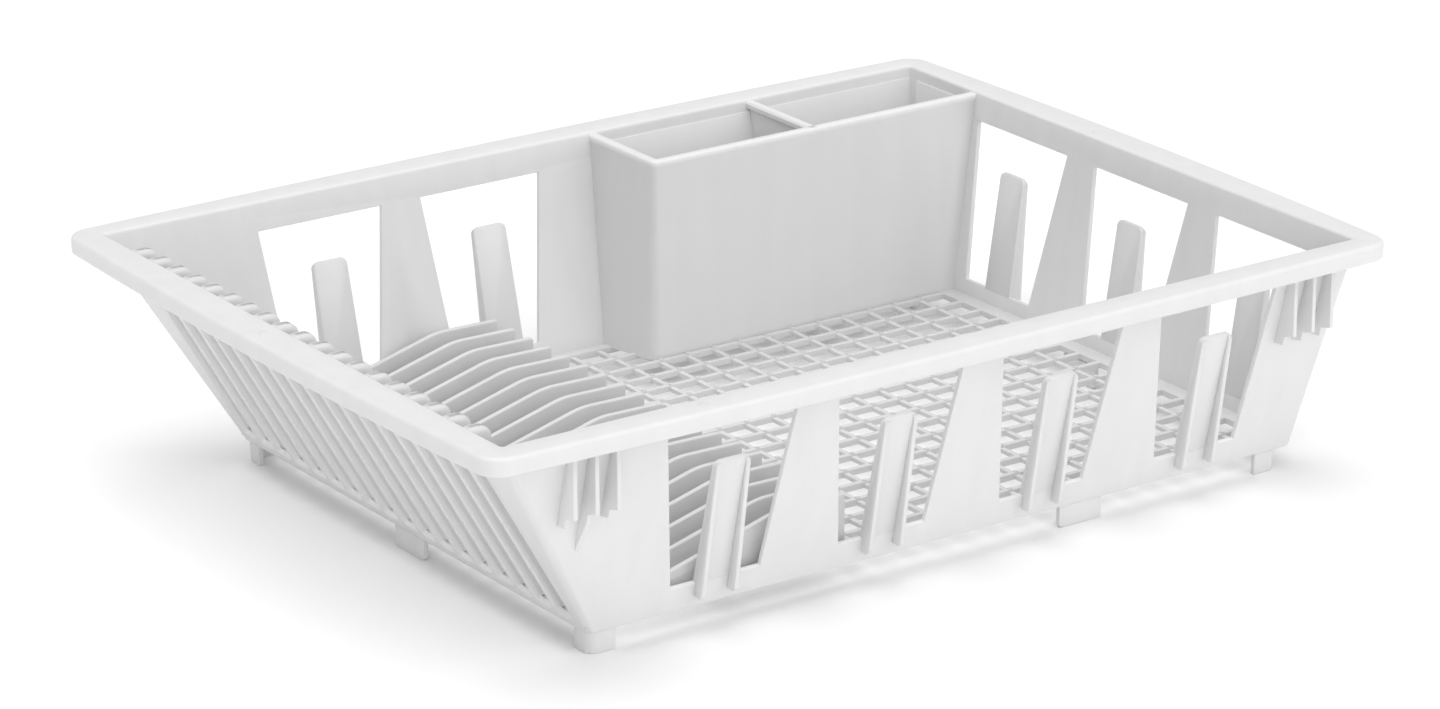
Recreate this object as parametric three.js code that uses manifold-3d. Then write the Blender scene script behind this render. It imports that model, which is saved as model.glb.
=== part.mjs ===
// Dish drying rack: one-piece moulded basket with a slotted plate end, a lattice floor,
// windowed walls with upright prongs and a two-pocket cutlery corner.
// Millimetres, +Z up. Origin: on the plane of the foot soles, below the middle of the rim opening.
import * as THREE from 'three';
import Module from 'manifold-3d';
import { mergeGeometries, mergeVertices } from 'three/addons/utils/BufferGeometryUtils.js';

const wasm = await Module();
wasm.setup();

// ---- driving sizes ------------------------------------------------------------------------
const height = 110;              // sole plane to rim top
const openingLength = 440;       // inner edge to inner edge of the rim, along X
const openingWidth = 320;        // the same along Y
const rimWidth = 12.5;           // flat top of the rim at the corners
const endBow = 4;                // how far the middle of each end rim bulges outward
const sideBow = 3;               // the same on the long sides
const rimThick = 3;
const rimCornerRadius = 11;
const skirtDrop = 5;             // turned-down lip below the rim plate
const skirtThick = 2;
const footHeight = 10;
const wallThick = 2.4;
const floorTop = 15;
const floorThick = 3;
const leftInset = 57.2;          // plate end: base edge inside the rim opening plus wall
const rightInset = 14.4;
const sideInset = 24.6;
const seam = 0.3;                // gap where one sloped piece is trimmed by its neighbour

// lattice floor and plate dividers share one pitch across the width
const dividerCount = 19;
const dividerEndGap = 2.4;       // outermost divider centre to the long walls' base
const dividerThick = 2.4;
const dividerTop = 41;           // highest edge above the sole plane
const dividerFlat = 33;          // level stretch at the free end
const dividerEndX = -0.0773 * openingLength;
const toothDepth = 9;            // how far each divider stands in from the slotted wall
const toothRadius = 3;
const barWidth = 2.4;
const barPitch = 14.85;
const floorMargin = 10;          // solid strip along the end walls

// windows and prongs
const windowTop = 96.5;
const windowBottom = 21.5;
const windowPitch = 84.6;
const windowMiddleX = 17.4;
const endWindowPitch = 0.27125 * openingWidth;
const endWindowMiddleY = -0.063125 * openingWidth;
const windowSlant = 30.4;        // half widths at the top: slanting side, steep side
const windowSteep = 33.6;
const endWindowExtra = 3;        // end windows reach further out on the steep side
const windowSlantFoot = 17.2;    // the same at the window sill
const windowSteepFoot = 27.6;
const prongTop = 77.5;
const prongFoot = 16.5;
const prongTopWidth = 17.4;
const prongFootWidth = 18.6;
const prongWall = 2.2;
const prongDepth = 5.5;          // flange depth at the foot, fading to prongLip at the top
const prongLip = 0.8;
const prongRadius = 3;
const endProngShift = 6.5;       // prongs stand off their windows' centre lines: end wall, front
const frontProngShift = 4.5;

// slots of the plate end
const slotTop = 100;
const slotBottom = 14.5;
const slotBar = 3.4;

// stiffening fins under the rim, three at each end of both long walls
const finThick = 2;
const finPitch = 10.4;
const finDepth = 4.2;             // how far the fins stand out past the rim opening
const finFoot = 73;
const finWallFoot = 67;
const finStartLeft = 32.2;         // first fin, from the rim opening's end
const finStartRight = 14.6;

// cutlery corner
const caddyPanelTopY = 0.336 * openingWidth;
const caddyPanelFootY = caddyPanelTopY - 2;
const caddySideTopX = 35.5;
const caddySideFootX = 33.5;
const caddySideSkew = 12;        // the side panel's foot runs out this much further at the back wall
const caddyDividerX = 126;
const caddyTop = 109;
const caddyWall = 2.4;
const beadWidth = 4.4;
const beadHeight = 3.5;

// feet
const footWall = 2.6;
const footLegX = 13;
const footLegY = 11;
const footRadius = 4;
const rightFootInset = 7;        // right-hand feet stand in from the base edge
const midFootWidth = 23;
const midFootX = 89.7;

// ---- derived ------------------------------------------------------------------------------
const underRim = height - rimThick;
const wallRise = height - footHeight;
const topX = openingLength / 2 + wallThick;
const topY = openingWidth / 2 + wallThick;
const baseLeft = -(topX - leftInset);
const baseRight = topX - rightInset;
const baseY = topY - sideInset;
const dividerPitch = (baseY - wallThick - dividerEndGap) / ((dividerCount - 1) / 2);
const finReach = openingWidth / 2 + finDepth;
const big = 900;

const plastic = new THREE.MeshStandardMaterial({ color: 0xf4f4f2, roughness: 0.42, metalness: 0 });
const group = new THREE.Group();
group.name = 'dish_drying_rack';

// ---- solid helpers ------------------------------------------------------------------------
function toSolid(geometry) {
  const g = geometry.clone();
  g.deleteAttribute('normal');
  g.deleteAttribute('uv');
  const m = mergeVertices(g, 1e-4);
  return new wasm.Manifold(new wasm.Mesh({
    numProp: 3,
    vertProperties: new Float32Array(m.attributes.position.array),
    triVerts: new Uint32Array(m.index.array),
  }));
}

function toGeometry(solid) {
  const mesh = solid.getMesh();
  const g = new THREE.BufferGeometry();
  g.setAttribute('position', new THREE.BufferAttribute(new Float32Array(mesh.vertProperties), 3));
  g.setIndex(new THREE.BufferAttribute(new Uint32Array(mesh.triVerts), 1));
  g.computeVertexNormals();
  return g;
}

function add(name, solidOrGeometry) {
  const isGeometry = solidOrGeometry.isBufferGeometry === true;
  const mesh = new THREE.Mesh(isGeometry ? solidOrGeometry : toGeometry(solidOrGeometry), plastic);
  mesh.name = name;
  group.add(mesh);
}

function extrude(shape, depth) {
  return new THREE.ExtrudeGeometry(shape, { depth, bevelEnabled: false, curveSegments: 3 });
}

function box(x0, x1, y0, y1, z0, z1) {
  const g = new THREE.BoxGeometry(x1 - x0, y1 - y0, z1 - z0);
  g.translate((x0 + x1) / 2, (y0 + y1) / 2, (z0 + z1) / 2);
  return toSolid(g);
}

function polygon(points) {
  const s = new THREE.Shape();
  s.moveTo(points[0][0], points[0][1]);
  for (const p of points.slice(1)) {
    s.lineTo(p[0], p[1]);
  }
  s.closePath();
  return s;
}

// A sloping wall: U runs along it, V up its slope, N outward; the origin lies on its outer face
// at the base edge. `lean` is outward run per unit of rise.
function wallFrame(origin, along, outward, lean) {
  const V = outward.clone().multiplyScalar(lean).add(new THREE.Vector3(0, 0, 1)).normalize();
  const N = new THREE.Vector3().crossVectors(along, V);
  const matrix = new THREE.Matrix4().makeBasis(along, V, N).setPosition(origin);
  return { matrix, stretch: Math.hypot(1, lean) };
}

const axis = (x, y) => new THREE.Vector3(x, y, 0);
const at = (x, y) => new THREE.Vector3(x, y, footHeight);
const front = wallFrame(at(0, -baseY), axis(1, 0), axis(0, -1), sideInset / wallRise);
const back = wallFrame(at(0, baseY), axis(-1, 0), axis(0, 1), sideInset / wallRise);
const left = wallFrame(at(baseLeft, 0), axis(0, -1), axis(-1, 0), leftInset / wallRise);
const right = wallFrame(at(baseRight, 0), axis(0, 1), axis(1, 0), rightInset / wallRise);

// distance up a wall's slope that reaches height z
const upTo = (frame, z) => (z - footHeight) * frame.stretch;

// prism standing on a wall frame, from depth n0 to n1 along its outward normal
function onWall(frame, shape, n0, n1) {
  const g = extrude(shape, n1 - n0);
  g.translate(0, 0, n0);
  g.applyMatrix4(frame.matrix);
  return toSolid(g);
}

// everything outside depth n of a wall
function beyond(frame, n) {
  const square = polygon([[-big, -big], [big, -big], [big, big], [-big, big]]);
  return onWall(frame, square, n, n + big);
}

const clearInside = -wallThick - seam;
const slabAbove = (z) => box(-big, big, -big, big, z, big);
const slabBelow = (z) => box(-big, big, -big, big, -big, z);

// ---- rim ----------------------------------------------------------------------------------
function rimOutline(inset) {
  const hx = openingLength / 2 + rimWidth - inset;
  const hy = openingWidth / 2 + rimWidth - inset;
  const r = rimCornerRadius - inset;
  const s = new THREE.Shape();
  s.moveTo(-hx + r, -hy);
  s.quadraticCurveTo(0, -hy - 2 * sideBow, hx - r, -hy);
  s.absarc(hx - r, -hy + r, r, -Math.PI / 2, 0, false);
  s.quadraticCurveTo(hx + 2 * endBow, 0, hx, hy - r);
  s.absarc(hx - r, hy - r, r, 0, Math.PI / 2, false);
  s.quadraticCurveTo(0, hy + 2 * sideBow, -hx + r, hy);
  s.absarc(-hx + r, hy - r, r, Math.PI / 2, Math.PI, false);
  s.quadraticCurveTo(-hx - 2 * endBow, 0, -hx, -hy + r);
  s.absarc(-hx + r, -hy + r, r, Math.PI, 1.5 * Math.PI, false);
  return s;
}

function ring(outerInset, innerPath, z0, z1) {
  const s = rimOutline(outerInset);
  s.holes.push(innerPath);
  const g = new THREE.ExtrudeGeometry(s, { depth: z1 - z0, bevelEnabled: false, curveSegments: 8 });
  g.translate(0, 0, z0);
  return toSolid(g);
}

const opening = polygon([
  [-openingLength / 2, -openingWidth / 2],
  [openingLength / 2, -openingWidth / 2],
  [openingLength / 2, openingWidth / 2],
  [-openingLength / 2, openingWidth / 2],
]);
const plate = ring(0, opening, underRim, height);
const skirt = ring(0, rimOutline(skirtThick), underRim - skirtDrop, underRim);
add('rim', plate.add(skirt));

// ---- walls --------------------------------------------------------------------------------
// window outline about its own centre line, steep side at +U
function windowHole(frame, u, extra = 0) {
  const v0 = upTo(frame, windowBottom);
  const v1 = upTo(frame, windowTop);
  return polygon([
    [u - windowSlantFoot, v0],
    [u + windowSteepFoot + extra, v0],
    [u + windowSteep + extra, v1],
    [u - windowSlant, v1],
  ]);
}

function wallPanel(frame, halfRun, holes) {
  const blank = polygon([[-halfRun, -10], [halfRun, -10], [halfRun, 140], [-halfRun, 140]]);
  let wall = onWall(frame, blank, -wallThick, 0)
    .subtract(slabAbove(underRim))
    .subtract(slabBelow(footHeight));
  for (const hole of holes) {
    wall = wall.subtract(onWall(frame, hole, -2 * wallThick, wallThick));
  }
  return wall;
}

const sideWindowX = [0, 1, 2, 3].map((i) => windowMiddleX + (i - 1.5) * windowPitch);
const backWindowX = sideWindowX.slice(0, 2);
const endWindowY = [-1, 0, 1].map((i) => endWindowMiddleY + i * endWindowPitch);

function sideWall(frame, centres) {
  return wallPanel(frame, 300, centres.map((u) => windowHole(frame, u)))
    .subtract(beyond(left, 0))
    .subtract(beyond(right, 0));
}

function endWall(frame, holes) {
  return wallPanel(frame, 200, holes)
    .subtract(beyond(front, clearInside))
    .subtract(beyond(back, clearInside));
}

add('wall_front', sideWall(front, sideWindowX));
add('wall_back', sideWall(back, backWindowX.map((x) => -x)));

add('wall_right', endWall(right, endWindowY.map((u) => windowHole(right, u, endWindowExtra))));

const slotHoles = [];
for (let i = 0; i < dividerCount - 1; i += 1) {
  const u0 = (i - (dividerCount - 1) / 2) * dividerPitch + slotBar / 2;
  const u1 = u0 + dividerPitch - slotBar;
  const v0 = upTo(left, slotBottom);
  const v1 = upTo(left, slotTop);
  slotHoles.push(polygon([[u0, v0], [u1, v0], [u1, v1], [u0, v1]]));
}
add('wall_left', endWall(left, slotHoles));

// ---- lattice floor ------------------------------------------------------------------------
const dividerY = Array.from({ length: dividerCount },
  (_, i) => (i - (dividerCount - 1) / 2) * dividerPitch);

// One slab with a grid of holes: square ones where the lattice shows, long ones between the
// dividers, which stand on the ribs that are left.
const holeRows = dividerY.slice(0, -1).map((y) => [y + barWidth / 2, y + dividerPitch - barWidth / 2]);
const holeColumns = [];
let holeEnd = baseRight - floorMargin;
while (holeEnd - (barPitch - barWidth) > dividerEndX) {
  holeColumns.push([holeEnd - (barPitch - barWidth), holeEnd]);
  holeEnd -= barPitch;
}
const slotStart = baseLeft + floorMargin;
const slotMiddle = (slotStart + holeEnd) / 2;
holeColumns.push([slotMiddle + barWidth / 2, holeEnd]);
holeColumns.push([slotStart, slotMiddle - barWidth / 2]);

const holes = [];
for (const [x0, x1] of holeColumns) {
  for (const [y0, y1] of holeRows) {
    const g = new THREE.BoxGeometry(x1 - x0, y1 - y0, 3 * floorThick);
    g.translate((x0 + x1) / 2, (y0 + y1) / 2, floorTop - floorThick / 2);
    holes.push(g);
  }
}
let floor = box(baseLeft - 10, baseRight + 10, -baseY - 10, baseY + 10, floorTop - floorThick, floorTop)
  .subtract(toSolid(mergeGeometries(holes)));
for (const frame of [front, back, left, right]) {
  floor = floor.subtract(beyond(frame, clearInside));
}
add('floor_lattice', floor);

// ---- plate dividers -----------------------------------------------------------------------
// Plates in XZ: a tooth down the slotted wall, then a low edge that climbs to a level stretch.
function dividerShape() {
  const lean = leftInset / wallRise;
  const gap = (wallThick + seam) * left.stretch;
  const wallX = (z) => baseLeft + gap - lean * (z - footHeight);
  const flatX = dividerEndX - dividerFlat;
  const rise = (dividerTop - floorTop) / (flatX - wallX(floorTop));
  const edgeZ = (x) => dividerTop - rise * (flatX - x);
  // where the inner edge of the tooth meets the climbing edge
  let meetX = wallX(floorTop) + toothDepth;
  for (let n = 0; n < 40; n += 1) {
    meetX = wallX(edgeZ(meetX)) + toothDepth;
  }
  const tip = underRim;
  const s = new THREE.Shape();
  s.moveTo(wallX(floorTop), floorTop);
  s.lineTo(dividerEndX, floorTop);
  s.lineTo(dividerEndX, dividerTop - 2);
  s.quadraticCurveTo(dividerEndX, dividerTop - 0.5, dividerEndX - 2, dividerTop - 0.4);
  s.lineTo(flatX, dividerTop);
  s.lineTo(meetX, edgeZ(meetX));
  s.lineTo(wallX(tip - toothRadius) + toothDepth, tip - toothRadius);
  s.quadraticCurveTo(wallX(tip) + toothDepth, tip, wallX(tip) + toothDepth - toothRadius, tip);
  s.lineTo(wallX(tip), tip);
  s.closePath();
  return s;
}
const dividerProfile = dividerShape();
for (let k = 0; k < dividerCount; k += 1) {
  const g = new THREE.ExtrudeGeometry(dividerProfile,
    { depth: dividerThick, bevelEnabled: false, curveSegments: 4 });
  g.rotateX(Math.PI / 2);
  g.translate(0, dividerY[k] + dividerThick / 2, 0);
  add(`plate_divider_${String(k + 1).padStart(2, '0')}`, g);
}

// ---- prongs -------------------------------------------------------------------------------
// U-shaped upright in each window: web in the wall's own thickness, two tapering flanges outside.
function prong(frame, u) {
  const vSill = upTo(frame, windowBottom);
  const vTop = upTo(frame, prongTop);
  const vFoot = upTo(frame, prongFoot);
  const outline = (inset, bottom) => {
    const slope = (prongFootWidth - prongTopWidth) / 2 / (vTop - vFoot);
    const half = (v) => prongTopWidth / 2 + slope * (vTop - v) - inset;
    const r = prongRadius;
    const s = new THREE.Shape();
    s.moveTo(u - half(bottom), bottom);
    s.lineTo(u + half(bottom), bottom);
    s.lineTo(u + half(vTop - r), vTop - r);
    s.quadraticCurveTo(u + half(vTop), vTop, u + half(vTop) - r, vTop);
    s.lineTo(u - half(vTop) + r, vTop);
    s.quadraticCurveTo(u - half(vTop), vTop, u - half(vTop - r), vTop - r);
    s.closePath();
    return s;
  };
  const upright = onWall(frame, outline(0, vSill + seam), -wallThick, prongDepth);
  const cheeks = onWall(frame, outline(0, vFoot), seam, prongDepth);
  const channel = onWall(frame, outline(prongWall, vFoot - 5), 0, prongDepth + 5);
  // wedge that the flanges keep: deep at the foot, shallow at the top
  const behind = -2 * wallThick;
  const wedge = extrude(polygon([
    [behind, vFoot - 1],
    [prongDepth - 1, vFoot - 1],
    [prongDepth, vFoot + 3],
    [prongLip, vTop - 1],
    [prongLip, vTop + 1],
    [behind, vTop + 1],
  ]), 60);
  wedge.applyMatrix4(new THREE.Matrix4().makeBasis(
    new THREE.Vector3(0, 0, 1), new THREE.Vector3(0, 1, 0), new THREE.Vector3(-1, 0, 0)));
  wedge.translate(u + 30, 0, 0);
  wedge.applyMatrix4(frame.matrix);
  return upright.add(cheeks).subtract(channel).intersect(toSolid(wedge));
}
sideWindowX.forEach((x, i) => add(`prong_front_${i + 1}`, prong(front, x + frontProngShift)));
backWindowX.forEach((x, i) => add(`prong_back_${i + 1}`, prong(back, -x)));
endWindowY.forEach((y, i) => add(`prong_right_${i + 1}`, prong(right, y + endProngShift)));

// ---- fins under the rim -------------------------------------------------------------------
function fin(x, side) {
  const lean = sideInset / wallRise;
  const gap = seam * front.stretch;
  const wallY = (z) => baseY + lean * (z - footHeight) + gap;
  const g = new THREE.ExtrudeGeometry(polygon([
    [wallY(finWallFoot), finWallFoot],
    [finReach, finFoot],
    [finReach, underRim],
    [wallY(underRim), underRim],
  ]), { depth: finThick, bevelEnabled: false });
  // profile (Y, Z) swept along X
  g.applyMatrix4(new THREE.Matrix4().makeBasis(
    new THREE.Vector3(0, 1, 0), new THREE.Vector3(0, 0, 1), new THREE.Vector3(1, 0, 0)));
  g.translate(x - finThick / 2, 0, 0);
  const solid = toSolid(g);
  return side > 0 ? solid : solid.mirror([0, 1, 0]);
}
const finX = [
  ...[0, 1, 2].map((i) => -openingLength / 2 + finStartLeft + i * finPitch),
  ...[2, 1, 0].map((i) => openingLength / 2 - finStartRight - i * finPitch),
];
finX.forEach((x, i) => add(`fin_front_${i + 1}`, fin(x, -1)));
finX.forEach((x, i) => add(`fin_back_${i + 1}`, fin(x, 1)));

// ---- cutlery corner -----------------------------------------------------------------------
// leaning panel with a bead along its top edge; profile in (across, Z)
function caddyProfile(top, foot) {
  const lean = (top - foot) / (caddyTop - floorTop);
  return polygon([
    [foot, floorTop],
    [foot + caddyWall, floorTop],
    [top - lean * beadHeight + caddyWall, caddyTop - beadHeight],
    [top - lean * beadHeight + beadWidth, caddyTop - beadHeight + 0.8],
    [top + beadWidth - 0.6, caddyTop - 0.8],
    [top + beadWidth - 1.6, caddyTop],
    [top + 0.6, caddyTop],
    [top - 0.4, caddyTop - 1.2],
    [top - lean * beadHeight - 0.4, caddyTop - beadHeight + 0.4],
    [top - lean * beadHeight, caddyTop - beadHeight],
  ]);
}

function alongX(profile, x0, x1) {
  const g = extrude(profile, x1 - x0);
  g.applyMatrix4(new THREE.Matrix4().makeBasis(
    new THREE.Vector3(0, 1, 0), new THREE.Vector3(0, 0, 1), new THREE.Vector3(1, 0, 0)));
  g.translate(x0, 0, 0);
  return toSolid(g);
}

function alongY(profile, y0, y1) {
  const g = extrude(profile, y1 - y0);
  g.rotateX(Math.PI / 2);
  g.translate(0, y1, 0);
  return toSolid(g);
}

// like alongY, with the foot of the section drawn outward towards the back
function skewed(profile, y0, y1) {
  const g = extrude(profile, y1 - y0);
  g.rotateX(Math.PI / 2);
  g.translate(0, y1, 0);
  const place = g.attributes.position;
  for (let i = 0; i < place.count; i += 1) {
    const back = (place.getY(i) - caddyPanelFootY) / (topY - caddyPanelFootY);
    const low = (caddyTop - place.getZ(i)) / (caddyTop - floorTop);
    place.setX(i, place.getX(i) - caddySideSkew * Math.max(back, 0) * low);
  }
  return toSolid(g);
}

const panel = alongX(caddyProfile(caddyPanelTopY, caddyPanelFootY), caddySideFootX - 20, topX);
const side = skewed(caddyProfile(caddySideTopX, caddySideFootX), caddyPanelFootY - 20, topY);
const rib = alongY(polygon([
  [caddyDividerX - caddyWall / 2, floorTop],
  [caddyDividerX + caddyWall / 2, floorTop],
  [caddyDividerX + caddyWall / 2, caddyTop - beadHeight],
  [caddyDividerX + beadWidth / 2, caddyTop - beadHeight + 0.8],
  [caddyDividerX + beadWidth / 2, caddyTop - 1],
  [caddyDividerX + beadWidth / 2 - 1, caddyTop],
  [caddyDividerX - beadWidth / 2 + 1, caddyTop],
  [caddyDividerX - beadWidth / 2, caddyTop - 1],
  [caddyDividerX - beadWidth / 2, caddyTop - beadHeight + 0.8],
  [caddyDividerX - caddyWall / 2, caddyTop - beadHeight],
]), caddyPanelFootY - 20, topY);

// half-space on the -X side of the side panel's outer face, and on the -Y side of the front panel's
const leanX = (caddySideTopX - caddySideFootX) / (caddyTop - floorTop);
const leanY = (caddyPanelTopY - caddyPanelFootY) / (caddyTop - floorTop);
const faceX = (z, off) => caddySideFootX + off + leanX * (z - floorTop);
const faceY = (z, off) => caddyPanelFootY + off + leanY * (z - floorTop);
const leftOfSide = alongY(polygon([
  [faceX(-20, -0.4), -20],
  [faceX(150, -0.4), 150],
  [-big, 150],
  [-big, -20],
]), -big, big);
const inFrontOf = (off) => alongX(polygon([
  [faceY(-20, off), -20],
  [faceY(150, off), 150],
  [-big, 150],
  [-big, -20],
]), -big, big);
const panelClear = beadWidth + seam;
add('caddy_front', panel.subtract(leftOfSide).subtract(beyond(right, clearInside)));
add('caddy_side', side.subtract(inFrontOf(panelClear)).subtract(beyond(back, clearInside)));
add('caddy_divider', rib.subtract(inFrontOf(panelClear)).subtract(beyond(back, clearInside)));

// ---- feet ---------------------------------------------------------------------------------
// corner foot: an L-shaped shell with a rounded outer corner, drawn for the -X, -Y corner
function cornerFoot(cx, cy, sx, sy) {
  const r = footRadius;
  const w = footWall;
  const s = new THREE.Shape();
  s.moveTo(0, footLegY);
  s.lineTo(0, r);
  s.absarc(r, r, r, Math.PI, 1.5 * Math.PI, false);
  s.lineTo(footLegX, 0);
  s.lineTo(footLegX, w);
  s.lineTo(r, w);
  s.quadraticCurveTo(w, w, w, r);
  s.lineTo(w, footLegY);
  s.closePath();
  let solid = toSolid(new THREE.ExtrudeGeometry(s,
    { depth: footHeight, bevelEnabled: false, curveSegments: 5 }));
  if (sx < 0) {
    solid = solid.mirror([1, 0, 0]);
  }
  if (sy < 0) {
    solid = solid.mirror([0, 1, 0]);
  }
  return solid.translate([cx, cy, 0]);
}
const footInsetY = 0.6;
const footY = baseY - footInsetY;
const footLeft = baseLeft + footInsetY;
const footRight = baseRight - rightFootInset;
add('foot_front_left', cornerFoot(footLeft, -footY, 1, 1));
add('foot_front_right', cornerFoot(footRight, -footY, -1, 1));
add('foot_back_left', cornerFoot(footLeft, footY, 1, -1));
add('foot_back_right', cornerFoot(footRight, footY, -1, -1));
const midHalf = midFootWidth / 2;
add('foot_front_mid', box(midFootX - midHalf, midFootX + midHalf, -footY, -footY + footWall, 0, footHeight));
add('foot_back_mid', box(midFootX - midHalf, midFootX + midHalf, footY - footWall, footY, 0, footHeight));
add('foot_left_mid', box(footLeft, footLeft + footWall, -midHalf, midHalf, 0, footHeight));
add('foot_right_mid', box(footRight - footWall, footRight, -midHalf, midHalf, 0, footHeight));

export default group;
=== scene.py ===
"""Looks for the dish drying rack: one white, satin, slightly translucent plastic moulding.

Every piece is built in millimetres and turned into metres as its mesh is made. Most places come
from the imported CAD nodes; the upright edge of the cutlery corner and the gate marks have their
own. X runs from the plate end (-X) to the other end, Y towards the cutlery corner, Z up, with the
foot soles at zero.
"""
import math

import bmesh
import bpy
from mathutils import Matrix, Vector


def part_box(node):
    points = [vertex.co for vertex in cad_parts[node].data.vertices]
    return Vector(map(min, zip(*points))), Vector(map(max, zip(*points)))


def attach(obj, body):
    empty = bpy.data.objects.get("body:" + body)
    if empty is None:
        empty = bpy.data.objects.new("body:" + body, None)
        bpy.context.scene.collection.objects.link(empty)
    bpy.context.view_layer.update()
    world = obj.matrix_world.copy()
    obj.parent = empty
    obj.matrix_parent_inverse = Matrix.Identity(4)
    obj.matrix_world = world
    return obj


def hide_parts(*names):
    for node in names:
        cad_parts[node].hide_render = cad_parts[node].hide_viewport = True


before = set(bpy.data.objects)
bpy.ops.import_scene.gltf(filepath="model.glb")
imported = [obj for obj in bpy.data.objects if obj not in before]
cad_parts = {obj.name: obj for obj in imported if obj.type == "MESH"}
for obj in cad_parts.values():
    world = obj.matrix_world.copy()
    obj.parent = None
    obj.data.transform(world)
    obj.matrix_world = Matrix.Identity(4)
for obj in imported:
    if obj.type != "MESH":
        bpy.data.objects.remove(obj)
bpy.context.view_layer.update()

MM = 0.001

# ---- sizes in millimetres ---------------------------------------------------------------------
WALL = 2.4                 # wall thickness, measured across the wall
RIM_ROUND = 1.9            # outer top edge of the rim
INNER_ROUND = 1.5          # inner top edge of the rim
LIP_DROP = 8.0             # rim top to the bottom of its turned-down lip
LIP_THICK = 2.0
RIM_PLATE = 3.0
END_BOW = 4.0              # outward bow of the rim's ends and long sides
SIDE_BOW = 3.0
RIM_CORNER = 11.0
WALL_CORNER_TOP = 4.2      # outer radius of the upright corners
WALL_CORNER_FOOT = 3.8
WALL_FOOT_EDGE = 0.4       # softened lower edge of the walls
RIM_ROOT = 1.6             # hollow where the walls meet the underside of the rim
EDGE = 0.45                # softened moulded edges
BURY = 1.0                 # how far a piece runs into the wall it grows from
WINDOW_SILL = 21.5
WINDOW_HEAD = 96.5
WINDOW_SLANT = (17.2, 30.4)    # half widths at sill and head, slanting side
WINDOW_STEEP = (27.6, 33.6)    # the same, steep side
SLIT_FOOT = 14.5
SLIT_HEAD = 100.0
SLIT_BAR = 3.4
SLIT_ROUND = 2.0
CUT_FROM, CUT_TO = -9, 3   # ends of the cutting prisms, outward from a wall's outer face
PRONG_WALL = 2.2
PRONG_DEPTH = 5.5
PRONG_LIP = 0.9
PRONG_ROUND = 3.2
PRONG_TOP_WIDTH = 17.4
PRONG_INNER = -1.2         # flanges start this far out, inside the web
PRONG_FOOT_CUT = (1.6, 2.2)    # the flanges' slanted lower edge: depth and height
DIVIDER_THICK = 2.6
DIVIDER_HEIGHT = 26        # level stretch above the lattice
DIVIDER_FLAT = 33.0        # length of the level stretch
DIVIDER_RISE = 0.265       # rise per run of the climbing edge
DIVIDER_BEND = 5           # half the length of the bend between the two
DIVIDER_BELOW = 1.5        # how far the plates reach down into the ribs
DIVIDER_END_ROUND = 1.5
DIVIDER_END_DROP = 1.9     # level stretch to the centre of that rounding
TOOTH_THICK = 3.2
TOOTH_DEPTH = 8.5          # how far a tooth stands in from the slit wall at its shoulder
TOOTH_TAPER = 0.75         # part of that depth left at its foot
TOOTH_DOME = 5             # radius of its top
TOOTH_CREST = 0.4          # rim top to the top of a tooth
TOOTH_BACK = WALL - 0.6    # how far a tooth reaches into the slit wall
NUB_THICK = 7.6            # thicker head of each tooth
NUB_DROP = 9.0             # rim top to the bottom of that head
BAR_WIDTH = 2.6
BAR_DROP = 0.9             # cross bars lie this far below the long ribs
BAR_PITCH = 14.85
NIB_RISE = 0.5             # small peaks where bars and ribs cross
NIB_INSET = (0.3, 0.4)     # along the rib, and across it
NIB_BURY = 0.5
FLOOR_MARGIN = 10.0
CADDY_EDGE = (35.5, 107.5)    # upright edge where the cutlery corner's two panels meet
CADDY_ROUND = 3.0          # outer radius of that edge
CADDY_FOOT_OFFSET = -2.0   # foot of both panels, outward of their tops
BEAD_WIDTH = 4.9
BEAD_HEIGHT = 3.2
BEAD_OVERHANG = 0.5
BEAD_EDGE = 0.9            # how far the bead's upper edges are rounded, down and in
BEAD_ROUND = (0.35, 0.25)  # middle of that rounding: in from the side, down from the top
PANEL_REACH = 1.2          # furthest the panels run into the walls behind them
LINER_BURY = 0.5
SIDE_SKEW = 12.0           # foot of the side panel, further out at the back wall
LINER_TOP = 104.0          # fine step high inside the pocket walls
LINER_THICK = 0.7
LINER_FLARE = 14           # the liners widen towards the rack's corner as they climb
FOOT_WALL = 2.6
FOOT_ROUND = 5.0
FOOT_TAPER = 0.35
FOOT_TOP_DROP = 2          # lattice top to the buried top of a corner foot
MID_FOOT_ROUND = 2
MID_FOOT_BURY = 1.5
FIN_STEP = 6.8             # how far a fin's lower point stands in from its outer edge
FIN_KNEE = 4.5             # heights above its lowest CAD point, where the fin turns upright
FIN_NOSE = 6
FIN_TOP_BURY = 0.5
FIN_DROPS = (0, 17, 0.5, 0, 1, 0)    # how far each fin's point runs down the wall, from -X to +X
GATE_RADIUS = 2.3
GATE_RISE = 0.16
GATE_SIDES = 16
GATE_BURY = 0.5
CORNER_STEPS = 10
SIDE_STEPS = 16
RIM_ROUND_STEPS = 6
INNER_ROUND_STEPS = 4
LEAN_STEPS = 12            # rounds that settle a wall's lean and its slanted thickness
SMALLEST_RADIUS = 0.3
FLAT_ANGLE = 32            # edges sharper than this, in degrees, are shaded as edges
BLUNT_FLAT_ANGLE = 40      # the same for parts with many small roundings


def node_box(node):
    """Lowest and highest corner of a CAD node, in millimetres."""
    low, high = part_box(node)
    return Vector(low) / MM, Vector(high) / MM


# ---- places read from the frame ---------------------------------------------------------------
rim_high = node_box("rim")[1]
RIM_TOP = rim_high.z
RIM_X = rim_high.x - END_BOW
RIM_Y = rim_high.y - SIDE_BOW
floor_low, floor_high = node_box("floor_lattice")
FLOOR_TOP = floor_high.z


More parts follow.
